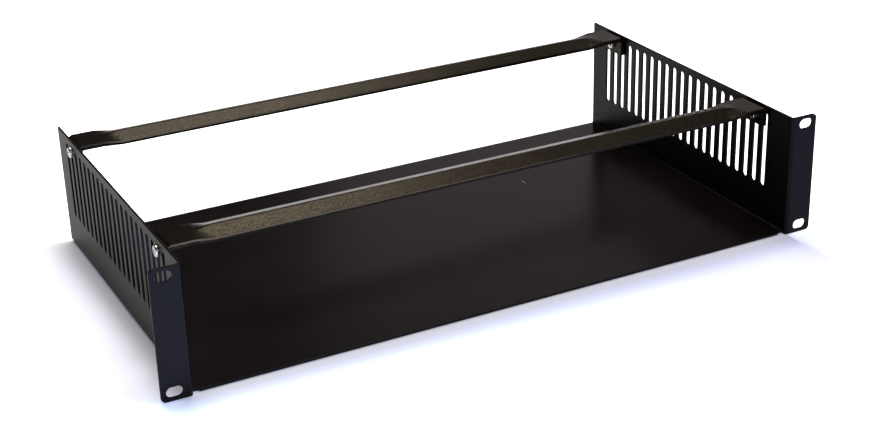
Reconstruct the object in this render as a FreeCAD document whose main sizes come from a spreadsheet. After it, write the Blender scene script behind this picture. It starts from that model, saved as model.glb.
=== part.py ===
import FreeCAD, Part
import math
import os
import re

import Sketcher

# Vented 2U rack shelf, 19 inch. One folded sheet makes the floor, both side walls and
# the two rack ears. Two pressed tie bars cross the open top between the walls, each
# held at both ends by a pan head screw and a thin hex nut.
#
# +Z is up and the front, with the ears, faces -Y. The origin is midway across the
# width and the depth, at the underside of the floor. Millimetres and degrees.

SIZES = (
    ("rack_width", 482.6, "overall width across the two ears"),
    ("panel_height", 87.8, "height of the ears and of the side walls"),
    ("tray_depth", 252.6, "front face of the ears to the rear edge"),
    ("ear_width", 19.0, "outer face of a side wall to the ear's outer edge"),
    ("tray_sheet", 1.5, "thickness of the tray's sheet"),
    ("tray_bend", 1.2, "inner radius of the tray's folds"),
    ("ear_corner", 3.0, "radius of the ears' outer corners"),
    ("relief_width", 3.1, "corner relief, from the floor's fold inwards"),
    ("relief_depth", 1.7, "corner relief, back from the floor's front edge"),
    ("mount_side", 8.75, "ear's outer edge to the centre of a rack slot"),
    ("mount_end", 5.8, "ear's top or bottom edge to the centre of a rack slot"),
    ("mount_slot_length", 10.8, "overall length of a rack slot"),
    ("mount_slot_width", 7.1, "height of a rack slot"),
    ("vent_count", 21, "ventilation slots in each wall"),
    ("vent_width", 5.2, "width of a ventilation slot"),
    ("vent_front", 29.6, "front face of the ears to the first slot's centre"),
    ("vent_rear", 21.6, "last slot's centre to the rear edge"),
    ("vent_bottom", 27.3, "underside of the floor to a slot's lower end"),
    ("vent_margin", 5.0, "a slot's upper end to the wall's top edge"),
    ("strip_width", 25.4, "width of a tie bar's strip"),
    ("bar_sheet", 3.2, "thickness of a tie bar's strip"),
    ("bar_bend", 0.8, "inner radius of the fold at a tie bar's end"),
    ("bar_drop", 0.4, "wall's top edge down to a tie bar's flat end"),
    ("flat_length", 18.3, "wall's inner face to the end of the flat"),
    ("swage_length", 13.5, "run-out from the flat to the full ridge"),
    ("leg_angle", 18.5, "slope of each side of the ridge"),
    ("ridge_radius", 4.0, "outer radius along the top of the ridge"),
    ("ridge_rise", 2.0, "flat ends up to where the two slopes would meet"),
    ("tab_length", 14.1, "top of the flat end to the tab's lower edge"),
    ("tab_step", 1.3, "a tab's one edge stands back from the strip's edge"),
    ("tab_hole", 4.5, "clearance hole in a tab"),
    ("screw_drop", 7.6, "top of the flat end down to the screw's axis"),
    ("screw_size", 4.0, "nominal diameter of the screw"),
    ("screw_length", 7.5, "length of the screw under its head"),
    ("head_width", 8.0, "diameter of the pan head"),
    ("head_height", 2.6, "height of the pan head"),
    ("head_side", 1.3, "height of the pan head's upright rim"),
    ("head_top", 5.4, "diameter of the pan head's flat top"),
    ("recess_span", 4.4, "cross recess, from wing tip to wing tip"),
    ("recess_wing", 1.0, "thickness of a wing of the cross recess"),
    ("recess_depth", 1.5, "depth of the cross recess"),
    ("nut_flats", 7.0, "thin hex nut, across the flats"),
    ("nut_height", 2.2, "thickness of the nut"),
    ("thread_gap", 0.1, "gap between the screw and the nut's bore, all round"),
)

# Places and lengths that several pieces share, as formulas of the sizes.
FRONT = "(-tray_depth / 2)"
REAR = "(tray_depth / 2)"
EAR_EDGE = "(rack_width / 2)"
OUTER_WALL = f"({EAR_EDGE} - ear_width)"
INNER_WALL = f"({OUTER_WALL} - tray_sheet)"
TRAY_FOLD = "(tray_sheet + tray_bend)"
FLOOR_FRONT = f"({FRONT} + {TRAY_FOLD})"
RELIEF_BACK = f"({FLOOR_FRONT} + relief_depth)"
FIRST_VENT = f"({FRONT} + vent_front)"
LAST_VENT = f"({REAR} - vent_rear)"
VENT_SPAN = "(tray_depth - vent_front - vent_rear)"
VENT_PITCH = f"({VENT_SPAN} / (vent_count - 1))"
BAR_TOP = "(panel_height - bar_drop)"
SCREW_AXIS = f"({BAR_TOP} - screw_drop)"
FLAT_END = f"({INNER_WALL} - flat_length)"
RIDGE_END = f"({FLAT_END} - swage_length)"

# Each tie bar is screwed through the second slot from its end of the wall. Both are the same
# bar, the rear one turned round, so the stepped edge of its tabs faces the rear.
BAR_PLACES = {
    "front": f"{FIRST_VENT} + {VENT_PITCH}",
    "rear": f"{LAST_VENT} - {VENT_PITCH}",
}
STEPPED_EDGE = {"front": "-(strip_width / 2)", "rear": "(strip_width / 2)"}
STEP_BACK = {"front": "-(strip_width / 2) + tab_step", "rear": "(strip_width / 2) - tab_step"}
SIDES = {"left": -1, "right": 1}

document = FreeCAD.newDocument("rack_shelf")
sheet = document.addObject("Spreadsheet::Sheet", "Sizes")
for row, (alias, value, meaning) in enumerate(SIZES, start=1):
    sheet.set(f"A{row}", alias)
    sheet.set(f"B{row}", str(value))
    sheet.set(f"C{row}", meaning)
    sheet.setAlias(f"B{row}", alias)
document.recompute()

ALIASES = {alias for alias, value, meaning in SIZES}


def cells(formula):
    """Spell each size named in a formula as a reference to its cell."""
    return re.sub("[a-z_]+", lambda word: f"Sizes.{word[0]}" if word[0] in ALIASES else word[0], formula)


def number(formula):
    """Value of a formula at the present sizes."""
    return float(sheet.evalExpression(cells(formula)))


def bind(thing, formulas):
    """Tie properties of an object to the sheet."""
    for name, formula in formulas.items():
        thing.setExpression(name, cells(formula))


def origin_part(body, role):
    """Origin plane or axis of a body."""
    return next(part for part in body.Origin.OriginFeatures if part.Role == role)


# Sketches


def new_sketch(body, name, plane, offset="0"):
    """Sketch on an origin plane of the body, moved along the plane's normal."""
    sketch = body.newObject("Sketcher::SketchObject", name)
    sketch.AttachmentSupport = [(origin_part(body, plane), "")]
    sketch.MapMode = "FlatFace"
    bind(sketch, {"AttachmentOffset.Base.z": offset})
    return sketch


def dimension(sketch, kind, place, formula):
    """Driving dimension; a point at zero is held on the sketch's own axis instead."""
    if formula == "0":
        axis = {"DistanceX": -2, "DistanceY": -1}[kind]
        sketch.addConstraint(Sketcher.Constraint("PointOnObject", *place, axis))
        return
    index = sketch.addConstraint(Sketcher.Constraint(kind, *place, number(formula)))
    bind(sketch, {f"Constraints[{index}]": formula})


def locate(sketch, place, spot):
    """Fix a point of the sketch at (x, y)."""
    dimension(sketch, "DistanceX", place, spot[0])
    dimension(sketch, "DistanceY", place, spot[1])


def vector(spot):
    """Point of a sketch from the formulas of its place."""
    return FreeCAD.Vector(number(spot[0]), number(spot[1]), 0)


def add_outline(sketch, corners):
    """Closed outline through corners (x, y), or (x, y, radius) where two square runs meet."""
    count = len(corners)
    points = [vector(corner) for corner in corners]
    radii = [number(corner[2]) if len(corner) == 3 else 0 for corner in corners]
    ways = [(points[(i + 1) % count] - points[i]).normalize() for i in range(count)]
    runs = []
    for i in range(count):
        after = (i + 1) % count
        start = points[i] + ways[i] * radii[i]
        end = points[after] - ways[i] * radii[after]
        runs.append(sketch.addGeometry(Part.LineSegment(start, end)))
    for i, corner in enumerate(corners):
        if radii[i]:
            add_round(sketch, runs[i - 1], runs[i], points[i], ways[i - 1], ways[i], corner[2])
        else:
            sketch.addConstraint(Sketcher.Constraint("Coincident", runs[i - 1], 2, runs[i], 1))
            locate(sketch, (runs[i], 1), corner)
    for i, run in enumerate(runs):
        rounded_ends = bool(radii[i]) + bool(radii[(i + 1) % count])
        level = abs(ways[i].y) < abs(ways[i].x)
        if rounded_ends:
            sketch.addConstraint(Sketcher.Constraint("Horizontal" if level else "Vertical", run))
        if rounded_ends == 2:
            kind = "DistanceY" if level else "DistanceX"
            dimension(sketch, kind, (run, 1), corners[i][1 if level else 0])


def add_round(sketch, before, after, point, arriving, leaving, radius):
    """Arc that rounds a square corner and is tangent to its two runs."""
    size = number(radius)
    start = point - arriving * size
    end = point + leaving * size
    centre = start + leaving * size
    middle = centre + (point - centre).normalize() * size
    arc = sketch.addGeometry(Part.Arc(start, middle, end))
    first, last = (1, 2) if arriving.cross(leaving).z > 0 else (2, 1)
    sketch.addConstraint(Sketcher.Constraint("Tangent", before, 2, arc, first))
    sketch.addConstraint(Sketcher.Constraint("Tangent", arc, last, after, 1))
    dimension(sketch, "Radius", (arc,), radius)


def add_slot(sketch, ends, width):
    """Round-ended slot about the line between two centres, the left or lower one first."""
    near, far = [vector(spot) for spot in ends]
    radius = number(width) / 2
    way = (far - near).normalize()
    right = way.cross(FreeCAD.Vector(0, 0, 1)) * radius
    heading = math.atan2(way.y, way.x)
    arcs = []
    for centre, start in ((near, heading + math.pi / 2), (far, heading - math.pi / 2)):
        circle = Part.Circle(centre, FreeCAD.Vector(0, 0, 1), radius)
        arcs.append(sketch.addGeometry(Part.ArcOfCircle(circle, start, start + math.pi)))
    going = sketch.addGeometry(Part.LineSegment(near + right, far + right))
    coming = sketch.addGeometry(Part.LineSegment(far - right, near - right))
    for first, second in ((arcs[0], going), (going, arcs[1]), (arcs[1], coming), (coming, arcs[0])):
        sketch.addConstraint(Sketcher.Constraint("Tangent", first, 2, second, 1))
    for arc, spot in zip(arcs, ends):
        dimension(sketch, "Radius", (arc,), f"{width} / 2")
        locate(sketch, (arc, 3), spot)


def add_strip(sketch, spots, crowns):
    """Section of a strip through its corners; crowns gives the radius of each run that is an arc."""
    points = [vector(spot) for spot in spots]
    pieces = []
    for i, start in enumerate(points):
        end = points[(i + 1) % len(points)]
        if i in crowns:
            radius = number(crowns[i])
            middle = (start + end) / 2
            half_chord = (end - start).Length / 2
            crown = radius - math.sqrt(radius**2 - half_chord**2)
            arc = sketch.addGeometry(Part.Arc(start, middle + FreeCAD.Vector(0, crown, 0), end))
            dimension(sketch, "Radius", (arc,), crowns[i])
            pieces.append((arc, 1, 2) if end.x < start.x else (arc, 2, 1))
        else:
            pieces.append((sketch.addGeometry(Part.LineSegment(start, end)), 1, 2))
    for i, (piece, start, end) in enumerate(pieces):
        before, ignored, before_end = pieces[i - 1]
        sketch.addConstraint(Sketcher.Constraint("Coincident", before, before_end, piece, start))
        locate(sketch, (piece, start), spots[i])


def add_circle(sketch, centre, radius):
    """Circle about a centre (x, y)."""
    circle = Part.Circle(vector(centre), FreeCAD.Vector(0, 0, 1), number(radius))
    index = sketch.addGeometry(circle)
    dimension(sketch, "Radius", (index,), radius)
    locate(sketch, (index, 3), centre)


# Features


def feature(body, kind, name, profile, formulas, **settings):
    """PartDesign feature on a sketch, with its sizes tied to the sheet."""
    made = body.newObject(f"PartDesign::{kind}", name)
    made.Profile = profile
    for setting, choice in settings.items():
        setattr(made, setting, choice)
    bind(made, formulas)
    return made


def mirror(body, name, originals):
    """Repeat features on the other side of the middle plane."""
    made = body.newObject("PartDesign::Mirrored", name)
    made.Originals = originals
    made.MirrorPlane = (origin_part(body, "YZ_Plane"), [""])
    body.Tip = made
    return made


# Pieces


def make_tray():
    """Floor, side walls and rack ears, folded from one sheet."""
    body = document.addObject("PartDesign::Body", "tray")
    relief_side = f"({OUTER_WALL} - {TRAY_FOLD} - relief_width)"

    # An XZ sketch faces the front, so it is moved forward by a negated Y place.
    channel = new_sketch(body, "channel_section", "XZ_Plane", f"-{RELIEF_BACK}")
    add_outline(channel, [
        (f"-{OUTER_WALL}", "0", TRAY_FOLD),
        (OUTER_WALL, "0", TRAY_FOLD),
        (OUTER_WALL, "panel_height"),
        (INNER_WALL, "panel_height"),
        (INNER_WALL, "tray_sheet", "tray_bend"),
        (f"-{INNER_WALL}", "tray_sheet", "tray_bend"),
        (f"-{INNER_WALL}", "panel_height"),
        (f"-{OUTER_WALL}", "panel_height"),
    ])
    feature(body, "Pad", "floor_and_walls", channel, {"Length": f"{REAR} - {RELIEF_BACK}"}, Reversed=True)

    lip = new_sketch(body, "floor_lip_outline", "XY_Plane")
    add_outline(lip, [
        (f"-{relief_side}", FLOOR_FRONT),
        (relief_side, FLOOR_FRONT),
        (relief_side, RELIEF_BACK),
        (f"-{relief_side}", RELIEF_BACK),
    ])
    feature(body, "Pad", "floor_lip", lip, {"Length": "tray_sheet"})

    ear_section = new_sketch(body, "ear_section", "XY_Plane")
    add_outline(ear_section, [
        (INNER_WALL, RELIEF_BACK),
        (INNER_WALL, FRONT, TRAY_FOLD),
        (EAR_EDGE, FRONT),
        (EAR_EDGE, f"{FRONT} + tray_sheet"),
        (OUTER_WALL, f"{FRONT} + tray_sheet", "tray_bend"),
        (OUTER_WALL, RELIEF_BACK),
    ])
    ear = feature(body, "Pad", "ear", ear_section, {"Length": "panel_height"})
    both_ears = mirror(body, "both_ears", [ear])
    document.recompute()

    corners = body.newObject("PartDesign::Fillet", "ear_corners")
    corners.Base = (both_ears, outer_corner_edges(both_ears.Shape))
    bind(corners, {"Radius": "ear_corner"})
    document.recompute()

    rack_slots = new_sketch(body, "rack_slot_outlines", "XZ_Plane")
    half_run = "(mount_slot_length - mount_slot_width) / 2"
    for side in ("-", ""):
        for height in ("mount_end", "panel_height - mount_end"):
            centre = f"{side}({EAR_EDGE} - mount_side)"
            ends = [(f"{centre} - {half_run}", height), (f"{centre} + {half_run}", height)]
            add_slot(rack_slots, ends, "mount_slot_width")
    feature(body, "Pocket", "rack_slots", rack_slots, {}, Type="ThroughAll", Reversed=True)

    vent = new_sketch(body, "vent_outline", "YZ_Plane")
    lower = "vent_bottom + vent_width / 2"
    upper = "panel_height - vent_margin - vent_width / 2"
    add_slot(vent, [(FIRST_VENT, lower), (FIRST_VENT, upper)], "vent_width")
    opening = feature(body, "Pocket", "vent", vent, {}, Type="ThroughAll", SideType="Symmetric")
    vents = body.newObject("PartDesign::LinearPattern", "vents")
    vents.Originals = [opening]
    vents.Direction = (origin_part(body, "Y_Axis"), [""])
    bind(vents, {"Length": VENT_SPAN, "Occurrences": "vent_count"})
    body.Tip = vents
    return body


def outer_corner_edges(shape):
    """Names of the short edges at the ears' outer corners."""
    reach = shape.BoundBox.XMax
    names = []
    for index, edge in enumerate(shape.Edges, start=1):
        middle = edge.CenterOfMass
        across_sheet = abs(edge.tangentAt(edge.FirstParameter).y) > 0.5
        if across_sheet and math.isclose(abs(middle.x), reach):
            names.append(f"Edge{index}")
    return names


def ridge_section(sketch):
    """Strip pressed to a shallow inverted V with a rounded ridge."""
    apex = f"({BAR_TOP} + ridge_rise)"
    run = "strip_width / 2 * cos(leg_angle)"
    fall = "strip_width / 2 * sin(leg_angle)"
    inner_radius = "(ridge_radius - bar_sheet)"
    centre = f"({apex} - ridge_radius / cos(leg_angle))"
    edge_top = (run, f"{apex} - {fall}")
    edge_bottom = (
        f"{run} - bar_sheet * sin(leg_angle)",
        f"{apex} - {fall} - bar_sheet * cos(leg_angle)",
    )
    crown_top = ("ridge_radius * sin(leg_angle)", f"{centre} + ridge_radius * cos(leg_angle)")
    crown_bottom = (
        f"{inner_radius} * sin(leg_angle)",
        f"{centre} + {inner_radius} * cos(leg_angle)",
    )
    spots = strip_spots(edge_top, crown_top, crown_bottom, edge_bottom)
    add_strip(sketch, spots, {1: "ridge_radius", 5: inner_radius})


def flat_section(sketch):
    """The strip left flat, with the same corners as the ridge has."""
    under = f"{BAR_TOP} - bar_sheet"
    spots = strip_spots(
        ("strip_width / 2", BAR_TOP),
        ("ridge_radius * sin(leg_angle)", BAR_TOP),
        ("(ridge_radius - bar_sheet) * sin(leg_angle)", under),
        ("strip_width / 2", under),
    )
    add_strip(sketch, spots, {})


def strip_spots(edge_top, crown_top, crown_bottom, edge_bottom):
    """All eight corners of a strip's section from the four behind its middle."""
    front = [(f"-({across})", height) for across, height in (edge_top, crown_top, crown_bottom, edge_bottom)]
    return [edge_top, crown_top, front[1], front[0], front[3], front[2], crown_bottom, edge_bottom]


def make_tie_bar(end, place):
    """Cross strip with a pressed ridge, flat ends and tabs folded down inside the walls."""
    body = document.addObject("PartDesign::Body", f"{end}_tie_bar")
    bind(body, {"Placement.Base.y": place})

    ridge_outline = new_sketch(body, f"{end}_ridge_section", "YZ_Plane", RIDGE_END)
    ridge_section(ridge_outline)
    ridge = feature(body, "Pad", f"{end}_ridge", ridge_outline, {"Length": RIDGE_END}, Reversed=True)

    flat_outline = new_sketch(body, f"{end}_flat_section", "YZ_Plane", FLAT_END)
    flat_section(flat_outline)
    sections = {"Sections": [flat_outline], "Ruled": True}
    swage = feature(body, "AdditiveLoft", f"{end}_swage", ridge_outline, {}, **sections)

    tab_outline = new_sketch(body, f"{end}_tab_section", "XZ_Plane")
    add_outline(tab_outline, [
        (FLAT_END, f"{BAR_TOP} - bar_sheet"),
        (f"{INNER_WALL} - bar_sheet", f"{BAR_TOP} - bar_sheet", "bar_bend"),
        (f"{INNER_WALL} - bar_sheet", f"{BAR_TOP} - tab_length"),
        (INNER_WALL, f"{BAR_TOP} - tab_length"),
        (INNER_WALL, BAR_TOP, "bar_sheet + bar_bend"),
        (FLAT_END, BAR_TOP),
    ])
    tab = feature(body, "Pad", f"{end}_tab", tab_outline, {"Length": "strip_width"}, SideType="Symmetric")

    hole_outline = new_sketch(body, f"{end}_hole_outline", "YZ_Plane", INNER_WALL)
    add_circle(hole_outline, ("0", SCREW_AXIS), "tab_hole / 2")
    below_fold = f"{BAR_TOP} - bar_sheet - bar_bend"
    add_outline(hole_outline, [
        (STEPPED_EDGE[end], below_fold),
        (STEPPED_EDGE[end], f"{BAR_TOP} - tab_length"),
        (STEP_BACK[end], f"{BAR_TOP} - tab_length"),
        (STEP_BACK[end], below_fold),
    ])
    hole = feature(body, "Pocket", f"{end}_hole", hole_outline, {"Length": "bar_sheet"})
    mirror(body, f"{end}_other_half", [ridge, swage, tab, hole])
    return body


def place_fastener(body, sign, across, along):
    """Stand a fastener at its wall with its axis across the shelf and its head outward."""
    if sign < 0:
        body.Placement = FreeCAD.Placement(FreeCAD.Vector(), FreeCAD.Rotation(FreeCAD.Vector(0, 0, 1), 180))
    bind(body, {
        "Placement.Base.x": f"{sign} * {across}",
        "Placement.Base.y": along,
        "Placement.Base.z": SCREW_AXIS,
    })


def make_screw(name, sign, place):
    """Pan head screw; its head bears on the wall's outer face at x = 0 of the body."""
    body = document.addObject("PartDesign::Body", f"{name}_screw")
    profile = new_sketch(body, f"{name}_screw_profile", "XY_Plane")
    add_outline(profile, [
        ("-screw_length", "0"),
        ("-screw_length", "screw_size / 2"),
        ("0", "screw_size / 2"),
        ("0", "head_width / 2"),
        ("head_side", "head_width / 2"),
        ("head_height", "head_top / 2"),
        ("head_height", "0"),
    ])
    blank = feature(body, "Revolution", f"{name}_screw_blank", profile, {}, Angle=360)
    blank.ReferenceAxis = (origin_part(body, "X_Axis"), [""])

    recess = new_sketch(body, f"{name}_recess_outline", "YZ_Plane", "head_height")
    near = "recess_wing / 2"
    far = "recess_span / 2"
    quarter = [(far, near), (near, near), (near, far)]
    corners = []
    for sign_x, sign_y in (("", ""), ("-", ""), ("-", "-"), ("", "-")):
        signed = [(f"{sign_x}({x})", f"{sign_y}({y})") for x, y in quarter]
        corners += signed if sign_x == sign_y else signed[::-1]
    add_outline(recess, corners)
    feature(body, "Pocket", f"{name}_recess", recess, {"Length": "recess_depth"})
    place_fastener(body, sign, OUTER_WALL, place)
    return body


def make_nut(name, sign, place):
    """Thin unchamfered hex nut; it bears on the tab's inner face at x = 0 of the body."""
    body = document.addObject("PartDesign::Body", f"{name}_nut")
    section = new_sketch(body, f"{name}_nut_section", "YZ_Plane")
    corner = "(nut_flats / sqrt(3))"
    add_outline(section, [(f"{corner} * cos({60 * i})", f"{corner} * sin({60 * i})") for i in range(6)])
    add_circle(section, ("0", "0"), "screw_size / 2 + thread_gap")
    feature(body, "Pad", f"{name}_hexagon", section, {"Length": "nut_height"}, Reversed=True)
    place_fastener(body, sign, f"({INNER_WALL} - bar_sheet)", place)
    return body


pieces = [make_tray()]
for end, place in BAR_PLACES.items():
    pieces.append(make_tie_bar(end, place))
    for side, sign in SIDES.items():
        pieces.append(make_screw(f"{end}_{side}", sign, place))
        pieces.append(make_nut(f"{end}_{side}", sign, place))
document.recompute()

for thing in document.Objects:
    if {"Invalid", "Error"} & set(thing.State):
        raise RuntimeError(f"{thing.Label} failed: {thing.State}")
for piece in pieces:
    shape = piece.Shape
    if shape.isNull() or not shape.isValid() or len(shape.Solids) != 1:
        raise RuntimeError(f"{piece.Label} is not one valid solid")

os.makedirs("parts", exist_ok=True)
for piece in pieces:
    piece.Shape.exportStep(f"parts/{piece.Label}.step")
    print(piece.Label, round(piece.Shape.Volume, 1), "mm3")
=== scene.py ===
"""The looks of a two-unit rack shelf tray with two tie bars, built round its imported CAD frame."""
import functools
import math

import bmesh
import bpy
from mathutils import Matrix, Vector


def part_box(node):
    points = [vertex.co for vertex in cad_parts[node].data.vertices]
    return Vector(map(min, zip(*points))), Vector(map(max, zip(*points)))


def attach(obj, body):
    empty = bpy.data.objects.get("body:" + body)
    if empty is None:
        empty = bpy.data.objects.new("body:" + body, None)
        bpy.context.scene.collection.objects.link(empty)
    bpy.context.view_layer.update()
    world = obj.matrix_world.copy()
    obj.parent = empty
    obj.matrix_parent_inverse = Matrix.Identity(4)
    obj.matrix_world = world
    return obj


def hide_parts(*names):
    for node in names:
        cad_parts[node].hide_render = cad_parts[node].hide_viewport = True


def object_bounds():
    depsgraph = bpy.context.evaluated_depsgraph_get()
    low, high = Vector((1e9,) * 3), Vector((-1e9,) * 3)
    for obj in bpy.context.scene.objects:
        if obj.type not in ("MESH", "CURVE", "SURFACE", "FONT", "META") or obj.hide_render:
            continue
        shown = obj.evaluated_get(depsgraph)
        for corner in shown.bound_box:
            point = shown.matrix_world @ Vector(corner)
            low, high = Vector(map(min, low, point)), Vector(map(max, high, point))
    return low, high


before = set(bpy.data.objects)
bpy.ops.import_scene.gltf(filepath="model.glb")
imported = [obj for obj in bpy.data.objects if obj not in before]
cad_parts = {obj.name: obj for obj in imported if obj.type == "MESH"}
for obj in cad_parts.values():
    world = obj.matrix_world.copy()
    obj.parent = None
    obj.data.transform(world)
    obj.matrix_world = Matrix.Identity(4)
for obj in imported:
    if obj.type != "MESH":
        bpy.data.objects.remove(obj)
cad_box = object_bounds()

MM = 0.001
BODY = "root"
BAR_ENDS = ("front_left", "front_right", "rear_left", "rear_right")

# Tray (m): how far each ear stands out past its side wall.
EAR = 0.019

# Scratch on the tray's floor (m): its middle, and its reach from there along X, Y and Z.
SCRATCH_MIDDLE = (0.1085, 0.0478, 0.0015)
SCRATCH_REACH = (0.0007, 0.0044, 0.0007)

# Tie bars (m): where the full ridge ends and the flat starts, and the long edges' heights there.
RIDGE_END, FLAT_START = 0.1890, 0.2025
RIDGE_CORNER, FLAT_CORNER = 0.08537, 0.08740

# Painted highlight along the bars' long edges, in place of light on their rounded corners: where below those
# heights it fades out (m), and its two ends.
LIP_HIGHLIGHT_FADE = (1.0 * MM, 1.5 * MM)
LIP_HIGHLIGHT_BRIGHT, LIP_HIGHLIGHT_DULL = (0.22, 0.190, 0.140), (0.016, 0.013, 0.009)

# Fasteners (mm): M4 pan head screws with a cross recess, and hex nuts.
HEAD_HEIGHT = 2.6
RECESS_SPAN, RECESS_WIDTH, RECESS_DEPTH = 4.4, 1.0, 1.5
THREAD_RADIUS, THREAD_PITCH, THREAD_DEPTH = 2.0, 0.7, 0.3
TIP_LENGTH, TIP_SLOPE = 0.7, 0.7
NUT_BORE, NUT_MOUTH, NUT_MOUTH_DEPTH = 2.1, 2.35, 0.25
NUT_ROUNDING, NUT_ROUNDING_HEIGHT = 0.7, 0.56

# Turn of the first screw's recess, and how much further each next one is turned (degrees).
FIRST_TURN, NEXT_TURN = 17, 29

# Fineness of their meshes: segments round each, rings in a turn of thread, and the angle from which
# an edge is sharp (degrees).
HEAD_SEGMENTS, THREAD_SEGMENTS, NUT_SEGMENTS = 64, 40, 72
RINGS_PER_TURN = 10
SHARP_ANGLE = 32

# Camera: focal length and sensor width (mm), place (m), and the azimuth from +Y towards +X, the
# elevation and the roll that it looks from (degrees).
LENS, SENSOR = 68.31, 36.0
CAMERA_PLACE = (-0.4780, -0.9602, 0.5037)
CAMERA_AZIMUTH, CAMERA_ELEVATION, CAMERA_ROLL = 206.906, 24.291, -1.633

# Lamps: name, azimuth from +Y towards +X, elevation, distance, side (m), radiance, colour.
LAMPS = (
    ("key", 8.0, 70.0, 2.4, 1.6, 5.4, (1.0, 0.92, 0.78)),
    ("halo", 32.0, 60.0, 2.5, 1.8, 0.45, (1.0, 0.90, 0.76)),
    ("top", 135.0, 63.0, 2.4, 0.8, 8.5, (1.0, 0.98, 0.94)),
    ("backdrop", 34.0, 18.0, 2.4, 1.05, 0.43, (1.0, 0.88, 0.91)),
    ("fill", 190.0, 32.0, 2.4, 1.3, 2.0, (0.45, 0.62, 1.0)),
)

# Floor (m): half its side, and how far it lies below the tray, so that the two don't share a plane.
FLOOR_HALF, FLOOR_DROP = 8.0, 0.4 * MM

# For the floor's glow, a place behind the tray or to its right counts as this many times further, so that
# the glow's painted shadow lies only in front of the tray and to its left.
FAR_SIDE = 60.0


# ---------------------------------------------------------------- camera and lamps

def direction(azimuth, elevation):
    """The unit vector at an azimuth from +Y towards +X and an elevation, both in degrees."""
    azimuth, elevation = math.radians(azimuth), math.radians(elevation)
    return Vector((math.sin(azimuth) * math.cos(elevation),
                   math.cos(azimuth) * math.cos(elevation), math.sin(elevation)))


def make_camera():
    back = direction(CAMERA_AZIMUTH, CAMERA_ELEVATION)
    right = Vector((0, 0, 1)).cross(back).normalized()
    up = back.cross(right)
    roll = math.radians(CAMERA_ROLL)
    turned_right = math.cos(roll) * right + math.sin(roll) * up
    turned_up = -math.sin(roll) * right + math.cos(roll) * up
    data = bpy.data.cameras.new("camera")
    data.lens = LENS
    data.sensor_width = SENSOR
    data.clip_start = 10 * MM
    camera = bpy.data.objects.new("camera", data)
    rotation = Matrix((turned_right, turned_up, back)).transposed().to_4x4()
    camera.matrix_world = Matrix.Translation(CAMERA_PLACE) @ rotation
    bpy.context.scene.collection.objects.link(camera)
    bpy.context.scene.camera = camera


def make_lamps():
    """Square area lamps that face the origin."""
    for name, azimuth, elevation, distance, side, radiance, colour in LAMPS:
        towards = direction(azimuth, elevation)
        data = bpy.data.lights.new(name, "AREA")
        data.shape = "SQUARE"
        data.size = side
        data.color = colour
        data.energy = radiance * math.pi * side * side
        lamp = bpy.data.objects.new(name, data)
        lamp.matrix_world = (Matrix.Translation(towards * distance)
                             @ towards.to_track_quat("Z", "Y").to_matrix().to_4x4())
        bpy.context.scene.collection.objects.link(lamp)


# ---------------------------------------------------------------- short calls for nodes

def rgba(tone):
    """The colour of three numbers, or of one grey level, with full alpha."""
    return (*tone, 1.0) if isinstance(tone, tuple) else (tone, tone, tone, 1.0)


class Nodes:
    """The emptied node tree of a material or world, with short calls that return the output to use."""

    def __init__(self, owner):
        owner.use_nodes = True
        self.tree = owner.node_tree
        self.tree.nodes.clear()

    def add(self, kind, inputs=(), **settings):
        """Returns one new node. inputs maps its sockets to values or to other nodes' outputs."""
        node = self.tree.nodes.new("ShaderNode" + kind)
        for key, value in settings.items():
            setattr(node, key, value)
        for key, value in dict(inputs).items():
            if isinstance(value, bpy.types.NodeSocket):
                self.tree.links.new(value, node.inputs[key])
            else:
                node.inputs[key].default_value = value
        return node

    def number(self, operation, *values):
        return self.add("Math", enumerate(values), operation=operation).outputs[0]

    def vector(self, operation, *values):
        """A vector, or a number where the operation gives one."""
        node = self.add("VectorMath", enumerate(values), operation=operation)
        return node.outputs["Value" if operation in ("LENGTH", "DOT_PRODUCT") else "Vector"]

    def scaled(self, vector, scale):
        return self.add("VectorMath", {0: vector, "Scale": scale}, operation="SCALE").outputs["Vector"]

    def axes(self, vector):
        """The three outputs X, Y and Z."""
        return self.add("SeparateXYZ", {"Vector": vector}).outputs

    def remap(self, value, start, end, at_start, at_end, smooth=False):
        """at_start where the value is start, at_end where it is end, and held beyond both."""
        return self.add("MapRange", {"Value": value, 1: start, 2: end, 3: at_start, 4: at_end},
                        interpolation_type="SMOOTHSTEP" if smooth else "LINEAR").outputs["Result"]

    def mix(self, factor, first, second, blend="MIX"):
        """Two colours, each a tone or an output."""
        first, second = (v if isinstance(v, bpy.types.NodeSocket) else rgba(v) for v in (first, second))
        return self.add("Mix", {"Factor": factor, 6: first, 7: second},
                        data_type="RGBA", blend_type=blend).outputs[2]

    def ramp(self, value, *stops):
        """A colour ramp through pairs of place and tone."""
        node = self.add("ValToRGB", {"Fac": value})
        elements = node.color_ramp.elements
        while len(elements) < len(stops):
            elements.new(1.0)
        for element, (place, tone) in zip(elements, stops):
            element.position = place
            element.color = rgba(tone)
        return node.outputs["Color"]

    def noise(self, place, *, scale, detail, roughness):
        return self.add("TexNoise", {"Vector": place, "Scale": scale, "Detail": detail,
                                     "Roughness": roughness}).outputs["Fac"]

    def rounded(self, *, radius, samples):
        """The normal, turned near edges as if they were rounded."""
        return self.add("Bevel", {"Radius": radius}, samples=samples).outputs["Normal"]

    def bump(self, height, *, strength, depth, normal):
        return self.add("Bump", {"Strength": strength, "Distance": depth, "Height": height,
                                 "Normal": normal}).outputs["Normal"]

    def surface(self, inputs):
        """The principled shader, joined to the material's output."""
        shader = self.add("BsdfPrincipled", inputs)
        self.add("OutputMaterial", {"Surface": shader.outputs[0]})


def node_material(name):
    material = bpy.data.materials.new(name)
    return material, Nodes(material)


# ---------------------------------------------------------------- world and floor

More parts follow.
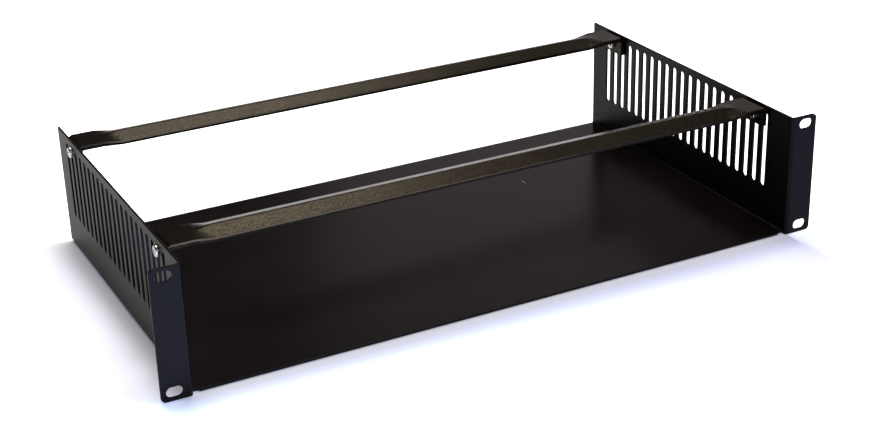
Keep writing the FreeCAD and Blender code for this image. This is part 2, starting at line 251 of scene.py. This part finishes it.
def make_world():
    """White to the camera, and to all other rays a dim sky that is brightest at the horizon."""
    world = bpy.data.worlds.new("studio")
    bpy.context.scene.world = world
    nodes = Nodes(world)
    height = nodes.axes(nodes.add("TexCoord").outputs["Generated"])["Z"]
    sky = nodes.ramp(height, (0.0, (0.35, 0.33, 0.34)), (0.12, (0.10, 0.088, 0.092)),
                     (0.3, (0.055, 0.048, 0.050)), (1.0, (0.055, 0.055, 0.060)))
    lit = nodes.add("Background", {"Color": sky, "Strength": 1.0})
    seen = nodes.add("Background", {"Color": rgba(1.0), "Strength": 1.0})
    to_camera = nodes.add("LightPath").outputs["Is Camera Ray"]
    mixed = nodes.add("MixShader", {0: to_camera, 1: lit.outputs[0], 2: seen.outputs[0]})
    nodes.add("OutputWorld", {"Surface": mixed.outputs[0]})


def footprint_distance(nodes, place):
    """Distance from the tray's footprint, which grows faster behind it and to its right."""
    foot = (cad_box[1].x - EAR, cad_box[1].y, 1.0)
    nothing = (0.0, 0.0, 0.0)
    ahead = nodes.vector("MAXIMUM", nodes.vector("SUBTRACT", [-v for v in foot], place), nothing)
    behind = nodes.vector("MAXIMUM", nodes.vector("SUBTRACT", place, foot), nothing)
    return nodes.vector("LENGTH", nodes.vector("ADD", ahead, nodes.scaled(behind, FAR_SIDE)))


def make_floor():
    """White paper, lit by the lamps. To the camera and in reflections it glows too; the glow is least at the
    tray, a painted shadow round it, and blue or darker at the front, painted reflections.
    """
    material, nodes = node_material("floor_white_painted_shadow")
    place = nodes.add("TexCoord").outputs["Object"]
    axes = nodes.axes(place)
    rays = nodes.add("LightPath").outputs
    away = footprint_distance(nodes, place)

    # 1 in front of the tray (m) and 1 at its right, and both together.
    front = nodes.remap(axes["Y"], -0.110, -0.150, 0.0, 1.0, smooth=True)
    rightward = nodes.remap(axes["X"], -0.30, 0.25, 0.0, 1.0, smooth=True)
    front_right = nodes.number("MULTIPLY", front, rightward)

    # The glow grows with the distance (m), which paints a shadow next to the tray, and only the camera sees
    # its last rise.
    shadowed_near_glow = nodes.remap(away, 0.0, 0.028, 0.10, 0.45, smooth=True)
    far = nodes.remap(away, 0.05, 0.35, 0.0, 0.30, smooth=True)
    furthest = nodes.remap(away, 0.45, 1.4, 0.0, 1.0, smooth=True)
    distant = nodes.number("MULTIPLY", furthest, rays["Is Camera Ray"])
    strength = nodes.number("MULTIPLY_ADD", distant, 0.7, nodes.number("ADD", shadowed_near_glow, far))

    # It is bluest at the front left, which paints a blue reflection into the tray and a blue tint into its
    # shadow, and white far away.
    painted_front_blue = nodes.mix(rightward, (1.3, 1.75, 3.7), (0.50, 0.58, 1.1))
    tone = nodes.mix(front, (1.00, 1.05, 1.35), painted_front_blue)
    glow = nodes.add("Emission", {"Color": nodes.mix(distant, tone, 1.0), "Strength": strength})

    # At the front right the paper is darker in reflections, a painted dark reflection, and close to the
    # tray, a painted shadow.
    painted_dark_reflection = nodes.number("MULTIPLY", front_right, rays["Is Glossy Ray"])
    paper_painted_reflection = nodes.mix(painted_dark_reflection, 0.80, (0.30, 0.30, 0.34))
    painted_shadow_reach = nodes.remap(away, 0.0, 0.030, 1.0, 0.0, smooth=True)
    painted_shadow = nodes.number("MULTIPLY", front_right, painted_shadow_reach)
    paper = nodes.add("BsdfDiffuse", {"Color": nodes.mix(painted_shadow, paper_painted_reflection, (0.50, 0.52, 0.70))})
    bright = nodes.add("AddShader", {0: paper.outputs[0], 1: glow.outputs[0]})

    # Reflections show the whole glow in front of the tray, and elsewhere a quarter of it, which paints the
    # paper darker in reflections there.
    share = nodes.remap(front, 0.0, 1.0, 0.25, 1.0)
    reflected = nodes.number("MULTIPLY", share, rays["Is Glossy Ray"])
    either = nodes.number("MAXIMUM", rays["Is Camera Ray"], reflected)
    seen = nodes.number("MAXIMUM", either, rays["Is Transmission Ray"])
    mixed = nodes.add("MixShader", {0: seen, 1: paper.outputs[0], 2: bright.outputs[0]})
    nodes.add("OutputMaterial", {"Surface": mixed.outputs[0]})

    mesh = bpy.data.meshes.new("floor")
    corners = ((-1, -1), (1, -1), (1, 1), (-1, 1))
    mesh.from_pydata([(x * FLOOR_HALF, y * FLOOR_HALF, -FLOOR_DROP) for x, y in corners],
                     [], [(0, 1, 2, 3)])
    mesh.materials.append(material)
    floor = bpy.data.objects.new("floor", mesh)
    bpy.context.scene.collection.objects.link(floor)


# ---------------------------------------------------------------- materials

def coat(name, *, tones, grain, grain_span, peel, peel_depth, specular, tint, rough, edge, edge_tone,
         wall_rough=0.0, marks=None):
    """Powder coat: fine grains, orange peel, faint patches, a few specks of dust, and paler edges that are
    partly wear and partly a painted highlight.

    tones: the dark and the pale colour of the grains
    grain, peel: noise scales of the grains and of the orange peel
    grain_span: the two noise levels between which a grain turns from dark to pale
    peel_depth: depth of the orange peel (m)
    specular, tint: level of the gloss, or a pair for dark and pale grains, and its colour
    rough, wall_rough: lowest and highest roughness, and what faces along X have on top
    edge, edge_tone: radius (m) over which edges look rounded, and their paler tone, partly wear and partly
    painted highlight
    marks: function that draws over the tone, such as the tray's own scratch or the bars' painted edge
    highlight
    """
    material, nodes = node_material(name)
    place = nodes.add("TexCoord").outputs["Object"]
    normal = nodes.add("NewGeometry").outputs["Normal"]
    grains = nodes.noise(place, scale=grain, detail=3.0, roughness=0.6)
    patches = nodes.noise(place, scale=9.0, detail=4.0, roughness=0.62)
    rounded = nodes.rounded(radius=edge, samples=8)

    clean = nodes.mix(1.0, nodes.ramp(grains, *zip(grain_span, tones)),
                      nodes.ramp(patches, (0.35, 0.80), (0.70, 1.25)), blend="MULTIPLY")
    # Edges are paler by this tone: partly wear, partly a painted highlight on the rounding.
    worn_and_lit_edge = nodes.remap(nodes.vector("DOT_PRODUCT", rounded, normal), 0.985, 0.80, 0.0, 1.0)
    tone = nodes.mix(worn_and_lit_edge, dust(nodes, place, clean), edge_tone)
    if marks:
        tone = marks(nodes, place, tone)

    roughness = nodes.remap(patches, 0.3, 0.7, *rough)
    if wall_rough:
        sideways = nodes.number("ABSOLUTE", nodes.axes(normal)["X"])
        roughness = nodes.number("ADD", roughness, nodes.remap(sideways, 0.5, 0.9, 0.0, wall_rough))
    if isinstance(specular, tuple):
        specular = nodes.remap(grains, *grain_span, *specular)
    dimples = nodes.noise(place, scale=peel, detail=2.0, roughness=0.55)
    skin = nodes.bump(dimples, strength=1.0, depth=peel_depth, normal=rounded)
    nodes.surface({"Base Color": tone, "Roughness": roughness, "Normal": skin,
                   "Specular IOR Level": specular, "Specular Tint": rgba(tint)})
    return material


def dust(nodes, place, tone):
    """A pale speck in the middle of a few cells."""
    cells = nodes.add("TexVoronoi", {"Vector": place, "Scale": 55.0, "Randomness": 1.0}).outputs
    middle = nodes.ramp(cells["Distance"], (0.018, 1.0), (0.030, 0.0))
    chosen = nodes.ramp(cells["Color"], (0.80, 0.0), (0.82, 1.0))
    return nodes.mix(nodes.number("MULTIPLY", middle, chosen), tone, (0.16, 0.15, 0.14))


def floor_scratch(nodes, place, tone):
    """A short pale scratch on the tray's floor."""
    offset = nodes.vector("SUBTRACT", place, SCRATCH_MIDDLE)
    away = nodes.vector("LENGTH", nodes.vector("DIVIDE", offset, SCRATCH_REACH))
    return nodes.mix(nodes.remap(away, 0.6, 1.0, 1.0, 0.0), tone, (0.16, 0.15, 0.145))


def painted_lip_highlight(nodes, place, tone):
    """A painted highlight on the upper part of a bar's long edges, brightest to the left and at the rear."""
    axes = nodes.axes(place)
    facing = nodes.axes(nodes.add("NewGeometry").outputs["Normal"])
    across = nodes.number("ABSOLUTE", axes["X"])
    corner = nodes.remap(across, RIDGE_END, FLAT_START, RIDGE_CORNER, FLAT_CORNER)
    below = nodes.number("SUBTRACT", corner, axes["Z"])
    upper = nodes.remap(below, *LIP_HIGHLIGHT_FADE, 1.0, 0.0, smooth=True)
    on_edge = nodes.number("GREATER_THAN", nodes.number("ABSOLUTE", facing["Y"]), 0.6)
    lip_highlight_tone = nodes.mix(nodes.remap(axes["X"], -0.18, 0.10, 0.0, 1.0), LIP_HIGHLIGHT_BRIGHT, LIP_HIGHLIGHT_DULL)

    # The painted highlight is brighter still at the rear on the ridge's edges, and darker on the flat ends'
    # edges.
    rearward = nodes.remap(axes["Y"], -0.1, 0.1, 0.0, 1.3)
    inboard = nodes.remap(across, RIDGE_END, FLAT_START, 1.0, -0.5)
    highlight_gain = nodes.number("MULTIPLY_ADD", rearward, inboard, 1.0)
    return nodes.mix(nodes.number("MULTIPLY", upper, on_edge), tone, nodes.scaled(lip_highlight_tone, highlight_gain))


def zinc(name):
    """Bright zinc plate: a clear metal with cloudy spots and a faintly uneven skin."""
    material, nodes = node_material(name)
    place = nodes.add("TexCoord").outputs["Object"]
    cloud = nodes.noise(place, scale=700.0, detail=3.0, roughness=0.6)
    marks = nodes.noise(place, scale=2400.0, detail=2.0, roughness=0.5)
    rounded = nodes.rounded(radius=0.12 * MM, samples=4)
    skin = nodes.bump(marks, strength=0.5, depth=0.01 * MM, normal=rounded)
    nodes.surface({"Base Color": nodes.ramp(cloud, (0.35, (0.62, 0.60, 0.54)), (0.65, (0.82, 0.80, 0.73))),
                   "Roughness": nodes.remap(cloud, 0.3, 0.7, 0.12, 0.22),
                   "Metallic": 1.0, "Normal": skin})
    return material


# ---------------------------------------------------------------- screws and nuts

def ring(shape, along, radius, segments):
    """New vertices round +X. radius is a number, or a function of the angle from +Y."""
    angles = [2 * math.pi * k / segments for k in range(segments)]
    radii = [radius(t) if callable(radius) else radius for t in angles]
    return [shape.verts.new((along, r * math.cos(t), r * math.sin(t))) for r, t in zip(radii, angles)]


def join_rings(shape, rings):
    """Faces between neighbouring rings, where a ring of one vertex is a point."""
    segments = max(len(vertices) for vertices in rings)
    for first, second in zip(rings, rings[1:]):
        for k in range(segments):
            after = (k + 1) % segments
            corners = [first[k % len(first)], first[after % len(first)],
                       second[after % len(second)], second[k % len(second)]]
            shape.faces.new(list(dict.fromkeys(corners)))


def add_piece(node, shape, metal, centre, turn=0.0):
    """Puts a bmesh in mm in place of a CAD node: its +X points out of the tray, turned about X (degrees)."""
    outward = -1 if centre.x < 0 else 1
    bmesh.ops.recalc_face_normals(shape, faces=shape.faces)
    shape.transform(Matrix.Scale(MM, 4) @ Matrix.Translation(centre)
                    @ Matrix.Diagonal((outward, 1, 1, 1)) @ Matrix.Rotation(math.radians(turn), 4, "X"))
    if outward < 0:
        bmesh.ops.reverse_faces(shape, faces=shape.faces)
    name = node + "_detail"
    mesh = bpy.data.meshes.new(name)
    shape.to_mesh(mesh)
    shape.free()
    mesh.materials.append(metal)
    mesh.shade_smooth()
    mesh.set_sharp_from_angle(angle=math.radians(SHARP_ANGLE))
    piece = bpy.data.objects.new(name, mesh)
    bpy.context.scene.collection.objects.link(piece)
    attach(piece, BODY)
    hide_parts(node)


def cross_recess(top):
    """The cutter of a cross recess: two pairs of tapering wings over a point, one pair tapering less.

    It stands above the head's top, and its point reaches below the wings.
    """
    above, point = 0.5, 0.35
    outer, inner = RECESS_SPAN / 2, RECESS_WIDTH / 2
    corners = []
    for quarter in range(4):
        turn = Matrix.Rotation(quarter * math.pi / 2, 2)
        corners += [turn @ Vector(p) for p in ((outer, -inner), (outer, inner), (inner, inner))]
    cutter = bmesh.new()
    rings = [[cutter.verts.new((top + above, 0, 0))]]
    # The wings' depths, and how wide they are there as a share of their span.
    for depth, scale in ((-above, 1.12), (0.55 * RECESS_DEPTH, 0.72), (RECESS_DEPTH, 0.34)):
        lesser = 0.75 + 0.25 * scale
        rings.append([cutter.verts.new((top - depth, c.x * scale, c.y * lesser)) for c in corners])
    rings.append([cutter.verts.new((top - RECESS_DEPTH - point, 0, 0))])
    join_rings(cutter, rings)
    bmesh.ops.recalc_face_normals(cutter, faces=cutter.faces)
    return cutter


def cut(shape, cutter):
    """shape less cutter, both bmeshes; both are used up."""
    objects = []
    for part in (shape, cutter):
        mesh = bpy.data.meshes.new("cut")
        part.to_mesh(mesh)
        part.free()
        objects.append(bpy.data.objects.new("cut", mesh))
        bpy.context.scene.collection.objects.link(objects[-1])
    modifier = objects[0].modifiers.new("cut", "BOOLEAN")
    modifier.operation = "DIFFERENCE"
    modifier.object = objects[1]
    modifier.solver = "EXACT"
    evaluated = objects[0].evaluated_get(bpy.context.evaluated_depsgraph_get())
    result = bmesh.new()
    result.from_mesh(evaluated.to_mesh())
    evaluated.to_mesh_clear()
    for part in objects:
        bpy.data.objects.remove(part)
    return result


def pan_head(radius):
    """A pan head from its seat at 0: a short chamfer, a straight rim, a rounded shoulder and a dome."""
    rim, shoulder, crown = 0.42 * HEAD_HEIGHT, 0.93 * HEAD_HEIGHT, 0.58 * radius
    chamfer, chamfer_height = 0.15, 0.12
    profile = [(0.0, 0.0), (0.0, radius - chamfer), (chamfer_height, radius)]
    for turn in (k / 12 * math.pi / 2 for k in range(13)):
        inset = (radius - crown) * (1 - math.cos(turn))
        profile.append((rim + (shoulder - rim) * math.sin(turn), radius - inset))
    for share in (k / 5 for k in range(1, 6)):
        rise = (HEAD_HEIGHT - shoulder) * math.sin(share * math.pi / 2)
        profile.append((shoulder + rise, crown * (1 - share)))
    shape = bmesh.new()
    join_rings(shape, [ring(shape, along, r, HEAD_SEGMENTS if r else 1) for along, r in profile])
    return shape


def threaded_shank(length):
    """A shank from 0 towards -X, with a helical thread that fades out at its chamfered tip."""
    count = int(length / THREAD_PITCH * RINGS_PER_TURN)

    def radius(along, angle):
        phase = (along / THREAD_PITCH + angle / (2 * math.pi)) % 1.0
        groove = THREAD_DEPTH * (1 - abs(2 * phase - 1))
        chamfer = TIP_SLOPE * max(0.0, TIP_LENGTH - (length - along))
        return THREAD_RADIUS - max(groove, chamfer)

    shape = bmesh.new()
    rings = [ring(shape, 0, 0, 1)]
    for along in (length * j / count for j in range(count + 1)):
        outline = functools.partial(radius, along)
        rings.append(ring(shape, -along, outline, THREAD_SEGMENTS))
    rings.append(ring(shape, -length, 0, 1))
    join_rings(shape, rings)
    return shape


def make_screw(where, number, metal):
    """A cross recessed pan head screw, each with its recess turned another way."""
    node = where + "_screw"
    low, high = (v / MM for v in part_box(node))
    outward = -1 if low.x < 0 else 1
    seat = max(abs(low.x), abs(high.x)) - HEAD_HEIGHT
    shape = cut(pan_head((high.y - low.y) / 2), cross_recess(HEAD_HEIGHT))
    shank = threaded_shank(seat - min(abs(low.x), abs(high.x)))
    mesh = bpy.data.meshes.new("shank")
    shank.to_mesh(mesh)
    shank.free()
    shape.from_mesh(mesh)
    centre = Vector((outward * seat, (low.y + high.y) / 2, (low.z + high.z) / 2))
    add_piece(node, shape, metal, centre, FIRST_TURN + NEXT_TURN * number)


def make_nut(where, metal):
    """A hex nut, rounded at its inner end. It has a corner up, where the CAD nut has a flat up."""
    node = where + "_nut"
    low, high = (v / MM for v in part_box(node))
    half = (high.x - low.x) / 2
    flats = min(high.y - low.y, high.z - low.z)

    def hexagon(inset, angle):
        return flats / 2 / math.cos((angle + math.pi / 6) % (math.pi / 3) - math.pi / 6) - inset

    profile = [(NUT_MOUTH_DEPTH - half, NUT_BORE), (-half, NUT_MOUTH)]
    for turn in (k / 6 * math.pi / 2 for k in range(7)):
        inset = NUT_ROUNDING * (1 - math.sin(turn))
        rise = NUT_ROUNDING_HEIGHT * (1 - math.cos(turn))
        profile.append((rise - half, functools.partial(hexagon, inset)))
    profile += [(half, functools.partial(hexagon, 0.0)), (half, NUT_BORE)]
    shape = bmesh.new()
    rings = [ring(shape, along, radius, NUT_SEGMENTS) for along, radius in profile]
    join_rings(shape, rings + rings[:1])
    add_piece(node, shape, metal, (low + high) / 2)


# ---------------------------------------------------------------- the scene

bpy.context.scene.view_settings.view_transform = "Standard"
make_camera()
make_world()
make_lamps()
make_floor()

tray_coat = coat(
    "tray_coat", tones=((0.0042, 0.0027, 0.0029), (0.0066, 0.0045, 0.0048)),
    grain=900.0, grain_span=(0.40, 0.62), peel=1500.0, peel_depth=0.012 * MM,
    specular=0.135, tint=(1.0, 1.0, 1.0), rough=(0.20, 0.26), wall_rough=0.14,
    edge=0.5 * MM, edge_tone=(0.012, 0.011, 0.011), marks=floor_scratch)
bar_coat = coat(
    "bar_coat", tones=((0.0020, 0.0014, 0.0010), (0.013, 0.0085, 0.0048)),
    grain=880.0, grain_span=(0.44, 0.62), peel=880.0, peel_depth=0.11 * MM,
    specular=(0.09, 0.25), tint=(1.0, 0.84, 0.58), rough=(0.18, 0.26),
    edge=0.35 * MM, edge_tone=(0.020, 0.016, 0.012), marks=painted_lip_highlight)
bright_zinc = zinc("zinc_bright")

for node, material in (("tray", tray_coat), ("front_tie_bar", bar_coat), ("rear_tie_bar", bar_coat)):
    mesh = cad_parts[node].data
    for k in range(len(mesh.materials)):
        mesh.materials[k] = material

for number, where in enumerate(BAR_ENDS):
    make_screw(where, number, bright_zinc)
    make_nut(where, bright_zinc)
